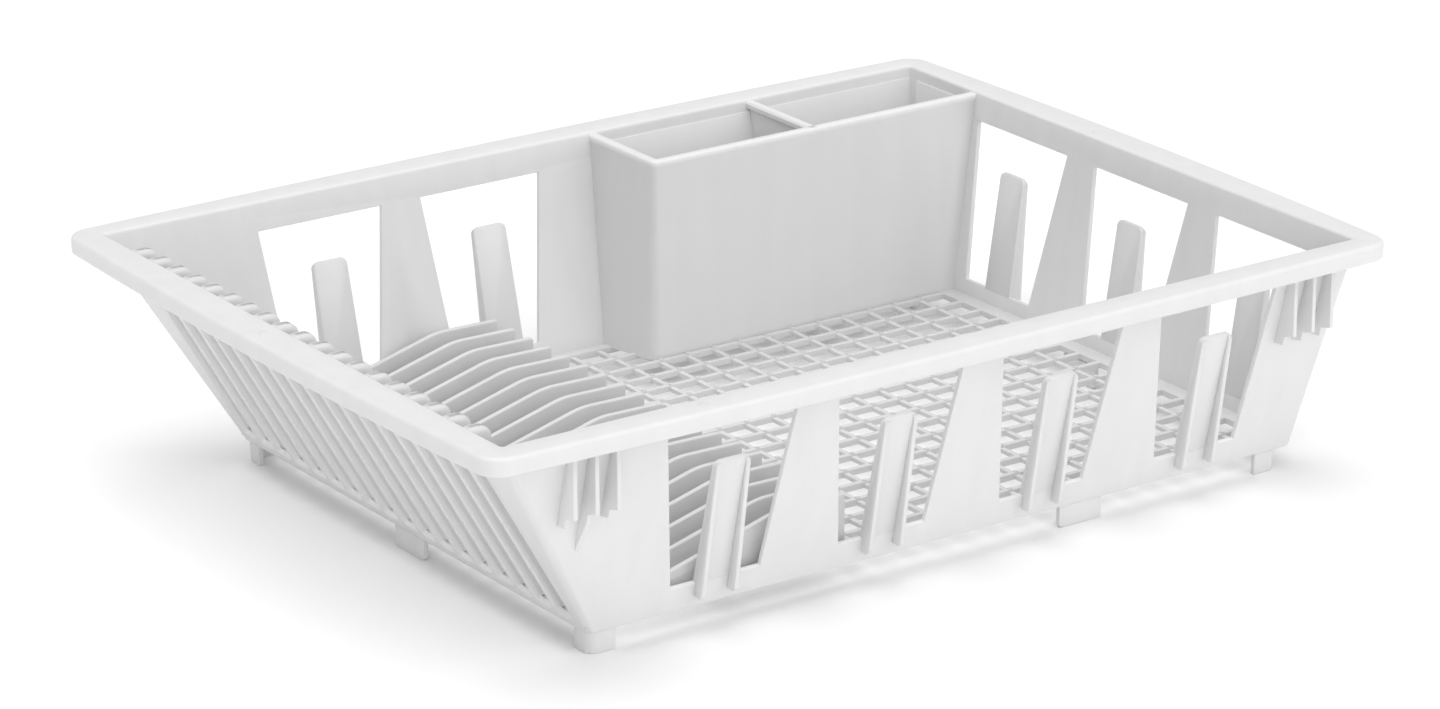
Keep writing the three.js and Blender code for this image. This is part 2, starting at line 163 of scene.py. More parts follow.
def leaning_face(node, axis, sign):
    """Outer face of a leaning wall: its place at the wall's foot, and its outward run per rise."""
    low, high = node_box(node)
    outer_top = high[axis] if sign > 0 else low[axis]
    inner_foot = low[axis] if sign > 0 else high[axis]
    run = abs(outer_top - inner_foot)
    rise = high.z - low.z
    lean = run / rise
    for _ in range(LEAN_STEPS):
        lean = (run - WALL * math.hypot(1, lean)) / rise
    return inner_foot + sign * WALL * math.hypot(1, lean), lean


WALL_FOOT = node_box("wall_front")[0].z
FACES = {
    "front": leaning_face("wall_front", 1, -1),
    "back": leaning_face("wall_back", 1, 1),
    "left": leaning_face("wall_left", 0, -1),
    "right": leaning_face("wall_right", 0, 1),
}
OUTWARD = {"front": (0, -1), "back": (0, 1), "left": (-1, 0), "right": (1, 0)}


def wall_at(side, z, inset=0.0):
    """Coordinate of a wall's face at height z, `inset` inside its outer face across the wall."""
    place, lean = FACES[side]
    sign = sum(OUTWARD[side])
    return place + sign * (lean * (z - WALL_FOOT) - inset * math.hypot(1, lean))


def wall_matrix(side):
    """Frame on a wall's outer face: x along it, y up its slope, z outward."""
    place, lean = FACES[side]
    out = Vector((*OUTWARD[side], 0))
    along = Vector((-out.y, out.x, 0))
    up = (out * lean + Vector((0, 0, 1))).normalized()
    normal = along.cross(up)
    origin = Vector((abs(out.x) * place, abs(out.y) * place, WALL_FOOT))
    matrix = Matrix((along, up, normal)).transposed().to_4x4()
    matrix.translation = origin
    return matrix


def slope_length(side, z):
    """Distance up a wall's slope that reaches height z."""
    return (z - WALL_FOOT) * math.hypot(1, FACES[side][1])


# ---- materials --------------------------------------------------------------------------------
def plastic(name, shade=0.72, streaks=0.02, grain=1.0):
    """White plastic: satin skin, faint flow streaks down the mould, a little light inside."""
    material = bpy.data.materials.new(name)
    material.use_nodes = True
    nodes = material.node_tree.nodes
    link = material.node_tree.links.new
    shader = nodes["Principled BSDF"]
    shader.inputs["IOR"].default_value = 1.49
    shader.inputs["Subsurface Weight"].default_value = 0.12
    shader.inputs["Subsurface Radius"].default_value = (0.004, 0.004, 0.0038)
    shader.inputs["Subsurface Scale"].default_value = 1.0
    shader.inputs["Specular IOR Level"].default_value = 0.42
    place = nodes.new("ShaderNodeTexCoord")

    stretch = nodes.new("ShaderNodeMapping")
    stretch.inputs["Scale"].default_value = (60, 60, 5)
    link(place.outputs["Object"], stretch.inputs["Vector"])
    flow = nodes.new("ShaderNodeTexNoise")
    flow.inputs["Scale"].default_value = 1.6
    flow.inputs["Detail"].default_value = 3
    link(stretch.outputs["Vector"], flow.inputs["Vector"])
    tint = nodes.new("ShaderNodeValToRGB")
    tint.color_ramp.elements[0].position = 0.3
    tint.color_ramp.elements[0].color = (shade - streaks, shade - streaks, shade - 1.1 * streaks, 1)
    tint.color_ramp.elements[1].position = 0.7
    tint.color_ramp.elements[1].color = (shade + streaks, shade + streaks, shade + 0.9 * streaks, 1)
    link(flow.outputs["Fac"], tint.inputs["Fac"])
    link(tint.outputs["Color"], shader.inputs["Base Color"])

    blotch = nodes.new("ShaderNodeTexNoise")
    blotch.inputs["Scale"].default_value = 55
    blotch.inputs["Detail"].default_value = 4
    link(place.outputs["Object"], blotch.inputs["Vector"])
    satin = nodes.new("ShaderNodeMapRange")
    satin.inputs["To Min"].default_value = 0.36
    satin.inputs["To Max"].default_value = 0.50
    link(blotch.outputs["Fac"], satin.inputs["Value"])
    link(satin.outputs["Result"], shader.inputs["Roughness"])

    skin = nodes.new("ShaderNodeTexNoise")
    skin.inputs["Scale"].default_value = 1400
    skin.inputs["Detail"].default_value = 2
    link(place.outputs["Object"], skin.inputs["Vector"])
    wave = nodes.new("ShaderNodeTexNoise")
    wave.inputs["Scale"].default_value = 28
    wave.inputs["Detail"].default_value = 1
    link(place.outputs["Object"], wave.inputs["Vector"])
    fine = nodes.new("ShaderNodeBump")
    fine.inputs["Strength"].default_value = 0.05 * grain
    fine.inputs["Distance"].default_value = 0.0001
    link(skin.outputs["Fac"], fine.inputs["Height"])
    broad = nodes.new("ShaderNodeBump")
    broad.inputs["Strength"].default_value = 0.10 * grain
    broad.inputs["Distance"].default_value = 0.0012
    link(wave.outputs["Fac"], broad.inputs["Height"])
    link(fine.outputs["Normal"], broad.inputs["Normal"])
    link(broad.outputs["Normal"], shader.inputs["Normal"])
    return material


WALL_PLASTIC = plastic("plastic_walls", streaks=0.012)
# painted shade: ribs, dividers and lattice are the wall plastic made darker, standing in for the
# shade in the gaps between them
SHADED_RIB_PLASTIC = plastic("plastic_ribs_painted_shade", shade=0.66, streaks=0.008, grain=0.6)
# painted light: the cutlery corner and its pocket divider are the wall plastic made lighter,
# standing in for more light on its front panel
LIT_CADDY_PLASTIC = plastic("plastic_cutlery_corner_painted_light", shade=0.75, streaks=0.008)


# ---- mesh helpers -----------------------------------------------------------------------------
def add_object(name, bm, material=None, nodes=(), flat_angle=FLAT_ANGLE):
    """Makes a bmesh in millimetres into a smooth-shaded object that stands for CAD nodes."""
    bmesh.ops.scale(bm, vec=(MM, MM, MM), verts=bm.verts)
    mesh = bpy.data.meshes.new(name)
    bm.to_mesh(mesh)
    bm.free()
    shade_smooth(mesh, flat_angle)
    piece = bpy.data.objects.new(name, mesh)
    bpy.context.scene.collection.objects.link(piece)
    if material is not None:
        mesh.materials.append(material)
        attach(piece, "root")
        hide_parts(*nodes)
    return piece


def shade_smooth(mesh, flat_angle):
    mesh.polygons.foreach_set("use_smooth", [True] * len(mesh.polygons))
    mesh.set_sharp_from_angle(angle=math.radians(flat_angle))


def soften(bm, width, angle=0.55, segments=2):
    """Rounds every edge that turns by more than an angle in radians."""
    edges = [e for e in bm.edges if len(e.link_faces) == 2 and e.calc_face_angle(0) > angle]
    bmesh.ops.bevel(bm, geom=edges, offset=width, offset_type="OFFSET", segments=segments,
                    profile=0.5, affect="EDGES", clamp_overlap=False)


def append(target, part):
    """Moves a part's mesh into the target."""
    mesh = bpy.data.meshes.new("part")
    part.to_mesh(mesh)
    part.free()
    target.from_mesh(mesh)
    bpy.data.meshes.remove(mesh)


def add_slab(target, outline, near, far, matrix=Matrix(), soft=EDGE, segments=2):
    """Adds a closed plate: an outline in local x, y between two depths, with softened edges."""
    part = bmesh.new()
    ring = [part.verts.new((x, y, near)) for x, y in outline]
    face = part.faces.new(ring)
    moved = bmesh.ops.extrude_face_region(part, geom=[face])
    tops = [v for v in moved["geom"] if isinstance(v, bmesh.types.BMVert)]
    bmesh.ops.translate(part, verts=tops, vec=(0, 0, far - near))
    bmesh.ops.recalc_face_normals(part, faces=part.faces)
    if soft:
        soften(part, soft, segments=segments)
    part.transform(matrix)
    append(target, part)


def arc(cx, cy, radius, start, end, steps):
    """Points on an arc, angles in degrees."""
    angles = [math.radians(start + (end - start) * i / steps) for i in range(steps + 1)]
    return [(cx + radius * math.cos(a), cy + radius * math.sin(a)) for a in angles]


def add_loft(target, loops):
    """Skins equal-length loops; the last loop joins the first."""
    rings = [[target.verts.new(p) for p in loop] for loop in loops]
    for a, b in zip(rings, rings[1:] + rings[:1]):
        count = len(a)
        for i in range(count):
            j = (i + 1) % count
            target.faces.new((a[i], a[j], b[j], b[i]))


# local x, y, z of a part drawn in the XZ plane or in the YZ plane
UPRIGHT_XZ = Matrix(((1, 0, 0, 0), (0, 0, -1, 0), (0, 1, 0, 0), (0, 0, 0, 1)))
UPRIGHT_YZ = Matrix(((0, 0, 1, 0), (1, 0, 0, 0), (0, 1, 0, 0), (0, 0, 0, 1)))


# ---- tub: rim, lip and four walls in one skin --------------------------------------------------
def plan_loop(x0, x1, y0, y1, radius, z, bow=0.0):
    """Rounded rectangle at height z; bow scales the rim's outward bulge."""
    r = max(radius, SMALLEST_RADIUS)
    points = []
    corners = (
        (x1 - r, y0 + r, -90), (x1 - r, y1 - r, 0), (x0 + r, y1 - r, 90), (x0 + r, y0 + r, 180),
    )
    for cx, cy, start in corners:
        points += arc(cx, cy, r, start, start + 90, CORNER_STEPS)
        a = Vector(points[-1])
        turn = math.radians(start + 90)
        away = Vector((math.cos(turn), math.sin(turn)))
        along = Vector((-away.y, away.x))
        length = (y1 - y0 if abs(along.y) > 0.5 else x1 - x0) - 2 * r
        depth = bow * (END_BOW if abs(away.x) > 0.5 else SIDE_BOW)
        # a parabola, `depth` high in the middle
        for i in range(1, SIDE_STEPS):
            t = i / SIDE_STEPS
            points.append(tuple(a + along * length * t + away * depth * 4 * t * (1 - t)))
    return [(x, y, z) for x, y in points]


def wall_loop(z, inset, radius):
    return plan_loop(
        wall_at("left", z, inset), wall_at("right", z, inset),
        wall_at("front", z, inset), wall_at("back", z, inset), radius, z,
    )


def rim_loop(z, inset):
    return plan_loop(-RIM_X + inset, RIM_X - inset, -RIM_Y + inset, RIM_Y - inset,
                     RIM_CORNER - inset, z, bow=1.0)


def tub_loops():
    """Loops from the foot of the walls up their outside, round the rim and down their inside."""
    under = RIM_TOP - RIM_PLATE
    lip = RIM_TOP - LIP_DROP
    edge = WALL_FOOT_EDGE
    loops = [wall_loop(WALL_FOOT, edge, WALL_CORNER_FOOT - edge)]
    loops.append(wall_loop(WALL_FOOT + edge, 0, WALL_CORNER_FOOT))
    # hollow under the rim: drop below its plate, and outward reach
    for drop, reach in ((RIM_ROOT, 0), (0.3, 0.4), (0, RIM_ROOT)):
        loops.append(wall_loop(under - drop, -reach, WALL_CORNER_TOP + reach))
    loops.append(rim_loop(under, LIP_THICK))
    # lower edge of the lip, from its inner side to its outer side: rise and inset
    for rise, inset in ((0.5, LIP_THICK), (0, LIP_THICK - 0.5), (0, 0.7), (0.2, 0.25), (0.8, 0.05)):
        loops.append(rim_loop(lip + rise, inset))
    for step in range(RIM_ROUND_STEPS + 1):
        turn = math.radians(90 * step / RIM_ROUND_STEPS)
        loops.append(rim_loop(RIM_TOP - RIM_ROUND + RIM_ROUND * math.sin(turn),
                              RIM_ROUND * (1 - math.cos(turn))))
    for step in range(INNER_ROUND_STEPS + 1):
        turn = math.radians(90 * step / INNER_ROUND_STEPS)
        drop = INNER_ROUND * (1 - math.cos(turn))
        reach = INNER_ROUND * (1 - math.sin(turn))
        loop = wall_loop(RIM_TOP - INNER_ROUND, WALL - reach, WALL_CORNER_TOP - WALL + reach)
        loops.append([(x, y, RIM_TOP - drop) for x, y, _ in loop])
    loops.append(wall_loop(WALL_FOOT + edge, WALL, WALL_CORNER_FOOT - WALL))
    loops.append(wall_loop(WALL_FOOT, WALL - edge, WALL_CORNER_FOOT - WALL + edge))
    return loops


def window_outline(side, u, extra=0.0):
    """Outline about its centre line u, with the steep side at +u."""
    foot, head = slope_length(side, WINDOW_SILL), slope_length(side, WINDOW_HEAD)
    points = [
        (-WINDOW_SLANT[0], foot), (WINDOW_STEEP[0] + extra, foot),
        (WINDOW_STEEP[1] + extra, head), (-WINDOW_SLANT[1], head),
    ]
    return [(u + x, y) for x, y in points]


def middle(node, axis):
    low, high = node_box(node)
    return (low[axis] + high[axis]) / 2


FRONT_PRONGS = [f"prong_front_{i}" for i in (1, 2, 3, 4)]
BACK_PRONGS = [f"prong_back_{i}" for i in (1, 2)]
RIGHT_PRONGS = [f"prong_right_{i}" for i in (1, 2, 3)]
DIVIDERS = [f"plate_divider_{i:02d}" for i in range(1, 20)]
END_PRONG_SHIFT = 6.5       # prongs stand off their windows' centre lines
FRONT_PRONG_SHIFT = 4.5
END_WINDOW_EXTRA = 3.0      # end windows reach further out on the steep side
divider_y = [middle(n, 1) for n in DIVIDERS]


def tub_cutters():
    """Windows and slits as one mesh of separate prisms."""
    cut = bmesh.new()

    def add_cutter(side, outline):
        add_slab(cut, outline, CUT_FROM, CUT_TO, wall_matrix(side), soft=0)

    for node in FRONT_PRONGS:
        add_cutter("front", window_outline("front", middle(node, 0) - FRONT_PRONG_SHIFT))
    for node in BACK_PRONGS:
        add_cutter("back", window_outline("back", -middle(node, 0)))
    for node in RIGHT_PRONGS:
        u = middle(node, 1) - END_PRONG_SHIFT
        add_cutter("right", window_outline("right", u, END_WINDOW_EXTRA))
    foot, head = slope_length("left", SLIT_FOOT), slope_length("left", SLIT_HEAD)
    for y0, y1 in zip(divider_y, divider_y[1:]):
        u0, u1 = -y1 + SLIT_BAR / 2, -y0 - SLIT_BAR / 2
        r = SLIT_ROUND
        outline = arc(u0 + r, foot + r, r, 180, 270, 3) + arc(u1 - r, foot + r, r, -90, 0, 3)
        add_cutter("left", outline + [(u1, head), (u0, head)])
    return cut


def build_tub():
    """Rim and walls as one skin, with the openings cut out and their edges softened."""
    skin = bmesh.new()
    add_loft(skin, tub_loops())
    bmesh.ops.recalc_face_normals(skin, faces=skin.faces)
    tub = add_object("tub_with_rim", skin, WALL_PLASTIC,
                     ("rim", "wall_front", "wall_back", "wall_left", "wall_right"))
    cutter = add_object("tub_cutter", tub_cutters())
    cut = tub.modifiers.new("openings", "BOOLEAN")
    cut.operation = "DIFFERENCE"
    cut.solver = "EXACT"
    cut.object = cutter
    settle(tub)
    bpy.data.objects.remove(cutter)
    finer = bmesh.new()
    finer.from_mesh(tub.data)
    bmesh.ops.dissolve_limit(finer, angle_limit=0.002, verts=finer.verts, edges=finer.edges)
    soften(finer, EDGE * MM, angle=0.75)
    finer.to_mesh(tub.data)
    finer.free()
    shade_smooth(tub.data, FLAT_ANGLE)


def settle(piece):
    """Replaces a piece's mesh with its modified mesh."""
    graph = bpy.context.evaluated_depsgraph_get()
    mesh = bpy.data.meshes.new_from_object(piece.evaluated_get(graph))
    piece.modifiers.clear()
    piece.data = mesh


# ---- lattice floor ----------------------------------------------------------------------------
def grid_solid(target, xs, ys, zs, filled):
    """Closed skin round the filled cells of a box grid."""
    shape = (len(xs) - 1, len(ys) - 1, len(zs) - 1)
    verts = {}

    def corner(i, j, k):
        if (i, j, k) not in verts:
            verts[i, j, k] = target.verts.new((xs[i], ys[j], zs[k]))
        return verts[i, j, k]

    def is_filled(cell):
        return all(0 <= c < n for c, n in zip(cell, shape)) and filled(*cell)

    for i in range(shape[0]):
        for j in range(shape[1]):
            for k in range(shape[2]):
                if not is_filled((i, j, k)):
                    continue
                for axis in range(3):
                    for side in (0, 1):
                        beside = [i, j, k]
                        beside[axis] += 2 * side - 1
                        if is_filled(tuple(beside)):
                            continue
                        face = []
                        for a, b in ((0, 0), (1, 0), (1, 1), (0, 1)):
                            step = [a, b]
                            step.insert(axis, side)
                            face.append(corner(i + step[0], j + step[1], k + step[2]))
                        target.faces.new(face)
    bmesh.ops.recalc_face_normals(target, faces=target.faces)


def build_floor():
    """Long ribs below the dividers, lower cross bars, and a solid strip at each end."""
    thick = floor_high.z - floor_low.z
    x_low = wall_at("left", FLOOR_TOP, WALL) - BURY
    x_high = wall_at("right", FLOOR_TOP, WALL) + BURY
    y_low = wall_at("front", FLOOR_TOP, WALL) - BURY
    y_high = wall_at("back", FLOOR_TOP, WALL) + BURY
    end = wall_at("right", WALL_FOOT) - FLOOR_MARGIN
    divider_end = node_box(DIVIDERS[0])[1].x
    bars = []
    while end - (BAR_PITCH - BAR_WIDTH) > divider_end:
        end -= BAR_PITCH
        bars.append((end, end + BAR_WIDTH))
    start = wall_at("left", WALL_FOOT) + FLOOR_MARGIN
    centre = (start + bars[-1][0]) / 2
    bars.append((centre - BAR_WIDTH / 2, centre + BAR_WIDTH / 2))
    bars.append((x_low, start))
    bars.reverse()
    bars.append((wall_at("right", WALL_FOOT) - FLOOR_MARGIN, x_high))
    ribs = [(y - BAR_WIDTH / 2, y + BAR_WIDTH / 2) for y in divider_y]
    ribs[0] = (y_low, ribs[0][1])
    ribs[-1] = (ribs[-1][0], y_high)
    xs = [x for bar in bars for x in bar]
    ys = [y for rib in ribs for y in rib]
    zs = [FLOOR_TOP - thick, FLOOR_TOP - BAR_DROP, FLOOR_TOP]
    margin_columns = (0, len(xs) - 2)

    def filled(i, j, k):
        if k == 0:
            return i % 2 == 0 or j % 2 == 0
        return j % 2 == 0 or i in margin_columns

    floor = bmesh.new()
    grid_solid(floor, xs, ys, zs, filled)
    soften(floor, 0.3, segments=2)
    half = BAR_WIDTH / 2
    in_x, in_y = NIB_INSET
    for x0, x1 in bars[2:-1]:
        for y in divider_y[1:-1]:
            nib = [(x0 + in_x, y - half + in_y), (x1 - in_x, y - half + in_y),
                   (x1 - in_x, y + half - in_y), (x0 + in_x, y + half - in_y)]
            add_slab(floor, nib, FLOOR_TOP - NIB_BURY, FLOOR_TOP + NIB_RISE, soft=0.25)
    add_object("floor_lattice_fine", floor, SHADED_RIB_PLASTIC, ("floor_lattice",))


# ---- plate dividers ---------------------------------------------------------------------------
def divider_outline(end, top):
    """Low edge that climbs from the plate end's wall to a level stretch."""
    foot = FLOOR_TOP - DIVIDER_BELOW
    flat = end - DIVIDER_FLAT
    bend = DIVIDER_BEND
    start = wall_at("left", FLOOR_TOP, WALL) - BURY
    curve = []
    steps = 6
    for i in range(steps + 1):
        t = i / steps
        x = flat - bend + 2 * bend * t
        curve.append((x, top - DIVIDER_RISE * bend * (1 - t) ** 2))
    outline = [(start, foot), (end, foot)]
    r = DIVIDER_END_ROUND
    outline += arc(end - r, top - DIVIDER_END_DROP, r, 0, 90, 3)
    outline += reversed(curve)
    x_low = start + 3
    outline.append((x_low, top - DIVIDER_RISE * (flat - x_low)))
    outline.append((start, FLOOR_TOP + 0.5))
    return outline


def tooth_outline(low):
    """Rib down the inside of the slit wall from the rim to height low, with a domed top."""
    crest = RIM_TOP - TOOTH_CREST
    shoulder = crest - TOOTH_DOME
    back = TOOTH_BACK
    front_low = wall_at("left", low, WALL) + TOOTH_DEPTH * TOOTH_TAPER
    front_high = wall_at("left", shoulder, WALL) + TOOTH_DEPTH
    outline = [(wall_at("left", low, WALL) - back, low), (front_low, low), (front_high, shoulder)]
    outline += arc(front_high - TOOTH_DOME, shoulder, TOOTH_DOME, 12, 90, 5)
    outline.append((wall_at("left", crest, WALL) - back + 1.5, crest))
    outline.append((wall_at("left", shoulder, WALL) - back, shoulder))
    return outline


def build_dividers():
    """Each is a low plate with a thin tooth up the slit wall and a thicker head on the tooth."""
    for node, y in zip(DIVIDERS, divider_y):
        part = bmesh.new()
        plate = divider_outline(node_box(node)[1].x, FLOOR_TOP + DIVIDER_HEIGHT)
        half = DIVIDER_THICK / 2
        add_slab(part, plate, -y - half, -y + half, UPRIGHT_XZ, soft=0.7, segments=3)
        for thick, low_end, soft in (
            (TOOTH_THICK, FLOOR_TOP + 2, 0.6), (NUB_THICK, RIM_TOP - NUB_DROP, 2.4),
        ):
            outline = tooth_outline(low_end)
            add_slab(part, outline, -y - thick / 2, -y + thick / 2, UPRIGHT_XZ, soft, segments=4)
        add_object(f"{node}_fine", part, SHADED_RIB_PLASTIC, (node,), flat_angle=BLUNT_FLAT_ANGLE)


# ---- prongs -----------------------------------------------------------------------------------
def build_prong(node, side):
    """Upright in a window: a web in the wall's thickness and a tapering flange along each side."""
    low, high = node_box(node)
    axis = 0 if side in ("front", "back") else 1
    u = (low[axis] + high[axis]) / 2 * (-1 if side == "back" else 1)
    foot_half = (high[axis] - low[axis]) / 2
    top_half = PRONG_TOP_WIDTH / 2
    v_foot, v_top = slope_length(side, low.z), slope_length(side, high.z)
    v_sill = slope_length(side, WINDOW_SILL) - 1.0
    matrix = wall_matrix(side)

    def half_at(v):
        return top_half + (foot_half - top_half) * (v_top - v) / (v_top - v_foot)

    part = bmesh.new()
    r = PRONG_ROUND
    web = [(u - half_at(v_sill), v_sill), (u + half_at(v_sill), v_sill)]
    web += arc(u + top_half - r, v_top - r, r, 0, 90, 6)
    web += arc(u - top_half + r, v_top - r, r, 90, 180, 6)
    add_slab(part, web, -WALL, 0, matrix, soft=0.5)
    # one flange along each side: drawn in depth and height, swept across its own thickness
    cut_depth, cut_height = PRONG_FOOT_CUT
    profile = [
        (PRONG_INNER, v_foot), (PRONG_DEPTH - cut_depth, v_foot),
        (PRONG_DEPTH, v_foot + cut_height),
        (PRONG_LIP, v_top - r * 0.7), (PRONG_LIP - 0.6, v_top - 0.6), (PRONG_INNER, v_top - 1.4),
    ]
    for hand in (-1, 1):
        flange = bmesh.new()
        add_slab(flange, profile, 0, PRONG_WALL, soft=0.6)
        for vert in flange.verts:
            depth, v, across = vert.co
            # the flange follows the web's sides and its rounded top
            edge = half_at(v) - (max(0.0, v - (v_top - r)) ** 2) / (2 * r)
            vert.co = (u + hand * (edge - across), v, depth)
        flange.transform(matrix)
        bmesh.ops.recalc_face_normals(flange, faces=flange.faces)
        append(part, flange)
    add_object(f"{node}_fine", part, WALL_PLASTIC, (node,))


# ---- corner fins ------------------------------------------------------------------------------
def build_fin(node, drop):
    """Fin under the rim; its lower point runs down the wall by `drop`."""
    low, high = node_box(node)
    front = high.y < 0
    side = "front" if front else "back"
    tip = low.y if front else high.y
    top = RIM_TOP - RIM_PLATE + FIN_TOP_BURY
    outward = -1 if front else 1
    outline = [
        (wall_at(side, low.z - drop, BURY), low.z - drop),
        (tip - outward * FIN_STEP, low.z + 0.4),
        (tip - outward * (FIN_STEP - 1), low.z + FIN_KNEE),
        (tip, low.z + FIN_NOSE),
        (tip, top),
        (wall_at(side, top, BURY), top),
    ]
    part = bmesh.new()
    add_slab(part, outline, low.x, high.x, UPRIGHT_YZ, soft=0.4)
    add_object(f"{node}_fine", part, WALL_PLASTIC, (node,))


# ---- cutlery corner ---------------------------------------------------------------------------
def bead_profile(top, foot):
    """Section of a thin panel with a bead along its top: (inward offset, height) pairs."""
    neck = top - BEAD_HEIGHT
    outer = BEAD_OVERHANG
    inner = BEAD_WIDTH - BEAD_OVERHANG
    edge = BEAD_EDGE
    round_in, round_down = BEAD_ROUND
    return [
        (CADDY_FOOT_OFFSET, foot), (-0.05, neck - 0.4), (-outer, neck + 0.4), (-outer, top - edge),
        (-outer + round_in, top - round_down), (-outer + edge, top), (inner - edge, top),
        (inner - round_in, top - round_down), (inner, top - edge), (inner, neck + 0.4),
        (WALL + 0.3, neck - 0.2), (WALL, neck - 0.8), (CADDY_FOOT_OFFSET + WALL, foot),
    ]


def build_cutlery_corner():
    """Two leaning panels in one skin with a rounded edge between them, and the pocket divider."""
    top = node_box("caddy_side")[1].z
    foot = FLOOR_TOP - BURY
    corner_x, corner_y = CADDY_EDGE
    end_x = wall_at("right", top, WALL) + BURY
    end_y = wall_at("back", top, WALL) + BURY
    part = bmesh.new()
    loops = []
    for offset, z in bead_profile(top, foot):
        r = max(CADDY_ROUND - offset, 0.5)
        x, y = corner_x + offset, corner_y + offset
        run_x = min(end_x, wall_at("right", z, WALL) + PANEL_REACH)
        run_y = min(end_y, wall_at("back", z, WALL) + PANEL_REACH)
        plan = [(x, run_y)] + arc(x + r, y + r, r, 180, 270, 8) + [(run_x, y)]
        low = (top - z) / (top - foot)
        skew = [max(0.0, (py - corner_y) / (end_y - corner_y)) * low for _, py in plan]
        loops.append([(px - SIDE_SKEW * k, py, z) for (px, py), k in zip(plan, skew)])
    rings = [[part.verts.new(p) for p in loop] for loop in loops]
    for a, b in zip(rings, rings[1:] + rings[:1]):
        for i in range(len(a) - 1):
            part.faces.new((a[i], a[i + 1], b[i + 1], b[i]))
    part.faces.new([ring[0] for ring in rings])
    part.faces.new([ring[-1] for ring in reversed(rings)])
    bmesh.ops.recalc_face_normals(part, faces=part.faces)
    # the two walls behind the pockets are a touch thicker up to a fine step below the rim
    for side, u0, u1, flare0, flare1 in (
        ("back", -wall_at("right", foot, WALL) - 2, -corner_x - WALL, LINER_FLARE, 0),
        ("right", corner_y + WALL, wall_at("back", foot, WALL) + 2, 0, LINER_FLARE),
    ):
        v0, v1 = slope_length(side, foot), slope_length(side, LINER_TOP)
        outline = [(u0, v0), (u1, v0), (u1 + flare1, v1), (u0 - flare0, v1)]
        near, far = -WALL - LINER_THICK, -WALL + LINER_BURY
        add_slab(part, outline, near, far, wall_matrix(side), soft=0.3)
    add_object("cutlery_corner_shell", part, LIT_CADDY_PLASTIC, ("caddy_front", "caddy_side"),
               BLUNT_FLAT_ANGLE)

    x = middle("caddy_divider", 0)
    half = WALL / 2
    bead = BEAD_WIDTH / 2
    neck = top - BEAD_HEIGHT
    shoulder = top - BEAD_EDGE
    section = [
        (x - half, foot), (x + half, foot), (x + half, neck - 0.6), (x + bead, neck + 0.4),
        (x + bead, shoulder), (x + bead - 0.8, top), (x - bead + 0.8, top), (x - bead, shoulder),
        (x - bead, neck + 0.4), (x - half, neck - 0.6),
    ]
    divider = bmesh.new()
    front_end = corner_y + BURY
    add_slab(divider, section, -end_y, -front_end, UPRIGHT_XZ, soft=0)
    # the divider's other end follows the back wall's slope
    for vert in divider.verts:
        if vert.co.y > (front_end + end_y) / 2:
            vert.co.y = wall_at("back", vert.co.z, WALL) + BURY
    add_object("pocket_divider", divider, LIT_CADDY_PLASTIC, ("caddy_divider",), BLUNT_FLAT_ANGLE)


# ---- feet -------------------------------------------------------------------------------------
def build_feet():
    """Four L-shaped corner feet with a rounded outer edge, and four flat ones between them."""
    for node in ("foot_front_left", "foot_front_right", "foot_back_left", "foot_back_right"):
        low, high = node_box(node)
        length_x, length_y = high.x - low.x, high.y - low.y
        r = FOOT_ROUND
        w = FOOT_WALL
        outline = [(0, length_y)] + arc(r, r, r, 180, 270, 6) + [(length_x, 0), (length_x, w)]
        outline += list(reversed(arc(r, r, r - w, 180, 270, 6))) + [(w, length_y)]
        flip_x = "right" in node
        flip_y = "back" in node
        part = bmesh.new()
        add_slab(part, outline, 0, FLOOR_TOP - FOOT_TOP_DROP, soft=0.5)
        for vert in part.verts:
            x, y, z = vert.co
            taper = FOOT_TAPER * (1 - z / FLOOR_TOP)
            x, y = x + taper, y + taper
            vert.co.x = high.x - x if flip_x else low.x + x
            vert.co.y = high.y - y if flip_y else low.y + y
        bmesh.ops.recalc_face_normals(part, faces=part.faces)
        add_object(f"{node}_fine", part, WALL_PLASTIC, (node,))
    for node in ("foot_front_mid", "foot_back_mid", "foot_left_mid", "foot_right_mid"):
        low, high = node_box(node)
        across = 0 if high.x - low.x > high.y - low.y else 1
        a, b = low[across], high[across]
        depth = 1 - across
        top = WALL_FOOT + MID_FOOT_BURY
        r = MID_FOOT_ROUND
        outline = [(a, top)] + arc(a + r, r, r, 180, 270, 4) + arc(b - r, r, r, 270, 360, 4)
        outline.append((b, top))
        part = bmesh.new()
        matrix = UPRIGHT_XZ if across == 0 else UPRIGHT_YZ
        near, far = low[depth], high[depth]
        if across == 0:
            near, far = -far, -near
        add_slab(part, outline, near, far, matrix, soft=0.5)
        add_object(f"{node}_fine", part, WALL_PLASTIC, (node,))


# ---- gate marks -------------------------------------------------------------------------------
def build_gate_marks():
    """Small raised discs on the rim, like the marks left where plastic enters a mould.

    The photograph clearly shows only the one on the plate end; the other three are guesses.
    """
    part = bmesh.new()
    # one near the middle of each end and two along the front
    places = ((-RIM_X + 5, 8), (-128, -RIM_Y + 6), (88, -RIM_Y + 6.5), (RIM_X - 7, 24))
    for x, y in places:
        disc = arc(x, y, GATE_RADIUS, 0, 360 - 360 / GATE_SIDES, GATE_SIDES - 1)
        add_slab(part, disc, RIM_TOP - GATE_BURY, RIM_TOP + GATE_RISE, soft=0.12)
    add_object("gate_marks", part, WALL_PLASTIC)


build_tub()
build_floor()
build_dividers()
for prong in FRONT_PRONGS:
    build_prong(prong, "front")
for prong in BACK_PRONGS:
    build_prong(prong, "back")
for prong in RIGHT_PRONGS:
    build_prong(prong, "right")
for row in ("front", "back"):
    for number, fin_drop in enumerate(FIN_DROPS, 1):
        build_fin(f"fin_{row}_{number}", fin_drop)
build_cutlery_corner()
build_feet()
build_gate_marks()


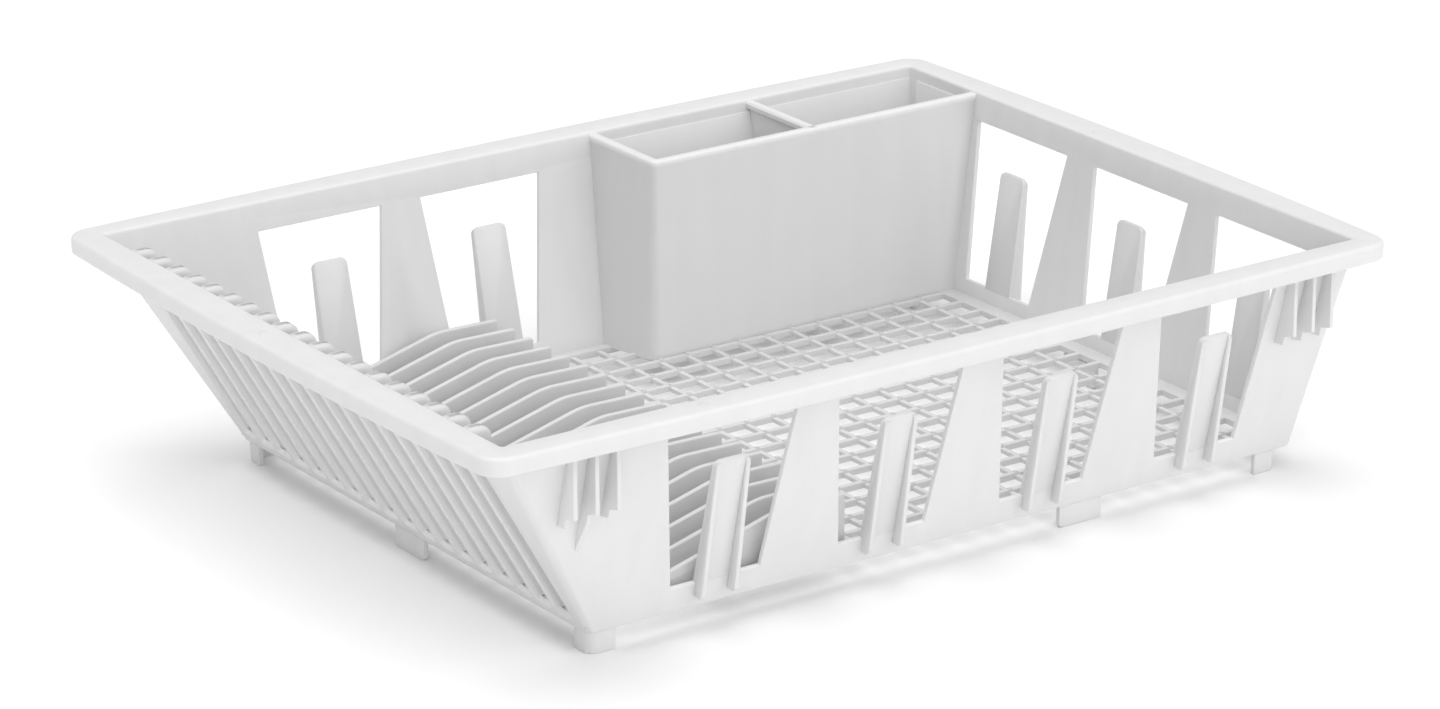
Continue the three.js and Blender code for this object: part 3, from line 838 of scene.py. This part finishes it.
# ---- floor, light and camera, in metres -------------------------------------------------------
STAGE_HALF = 12.0
ROOM_STRENGTH = 0.50
OVERHEAD_SPREAD = 55       # degrees the two lights spread over
FRONT_SPREAD = 100
CAMERA_PLACE = (-1.2606, -1.7942, 0.8453)
CAMERA_TURN = (-35.02, 19.81, -0.13)    # azimuth, elevation and roll in degrees
CAMERA_LENS = 133.12       # millimetres, on a sensor 36 mm wide


def build_stage():
    """Plain pale floor."""
    surface = bmesh.new()
    half = STAGE_HALF
    corners = [(-half, -half, 0), (half, -half, 0), (half, half, 0), (-half, half, 0)]
    surface.faces.new([surface.verts.new(c) for c in corners])
    mesh = bpy.data.meshes.new("studio_floor")
    surface.to_mesh(mesh)
    surface.free()
    table = bpy.data.objects.new("studio_floor", mesh)
    bpy.context.scene.collection.objects.link(table)
    paper = bpy.data.materials.new("white_paper")
    paper.use_nodes = True
    shader = paper.node_tree.nodes["Principled BSDF"]
    shader.inputs["Base Color"].default_value = (0.97, 0.97, 0.97, 1)
    shader.inputs["Roughness"].default_value = 0.9
    shader.inputs["Specular IOR Level"].default_value = 0.0
    mesh.materials.append(paper)


def add_sun(name, energy, spread, towards):
    """A light that comes from the direction `towards` points in."""
    light = bpy.data.lights.new(name, "SUN")
    light.energy = energy
    light.angle = math.radians(spread)
    lamp = bpy.data.objects.new(name, light)
    lamp.rotation_euler = Vector(towards).to_track_quat("Z", "Y").to_euler()
    bpy.context.scene.collection.objects.link(lamp)


def build_light():
    """A white room, one wide light overhead and a wider one from the front."""
    world = bpy.data.worlds.new("studio")
    world.use_nodes = True
    sky = world.node_tree.nodes["Background"]
    sky.inputs["Color"].default_value = (1, 1, 1, 1)
    sky.inputs["Strength"].default_value = ROOM_STRENGTH
    bpy.context.scene.world = world
    add_sun("overhead", 1.45, OVERHEAD_SPREAD, (-0.12, 0.15, 1.0))
    add_sun("front", 1.65, FRONT_SPREAD, (0.04, -1.0, 0.48))


def build_camera():
    """Long lens from the front left, a little under twenty degrees above the table."""
    azimuth, elevation, roll = (math.radians(angle) for angle in CAMERA_TURN)
    ahead = Vector((-math.sin(azimuth) * math.cos(elevation),
                    math.cos(azimuth) * math.cos(elevation), -math.sin(elevation)))
    level = Vector((math.cos(azimuth), math.sin(azimuth), 0))
    up = level.cross(ahead)
    right = level * math.cos(roll) + up * math.sin(roll)
    top = up * math.cos(roll) - level * math.sin(roll)
    data = bpy.data.cameras.new("camera")
    data.sensor_width = 36
    data.lens = CAMERA_LENS
    data.clip_start = 0.05
    data.clip_end = 60
    camera = bpy.data.objects.new("camera", data)
    matrix = Matrix((right, top, -ahead)).transposed().to_4x4()
    matrix.translation = Vector(CAMERA_PLACE)
    camera.matrix_world = matrix
    bpy.context.scene.collection.objects.link(camera)
    bpy.context.scene.camera = camera


build_stage()
build_light()
build_camera()
bpy.context.scene.view_settings.view_transform = "Standard"
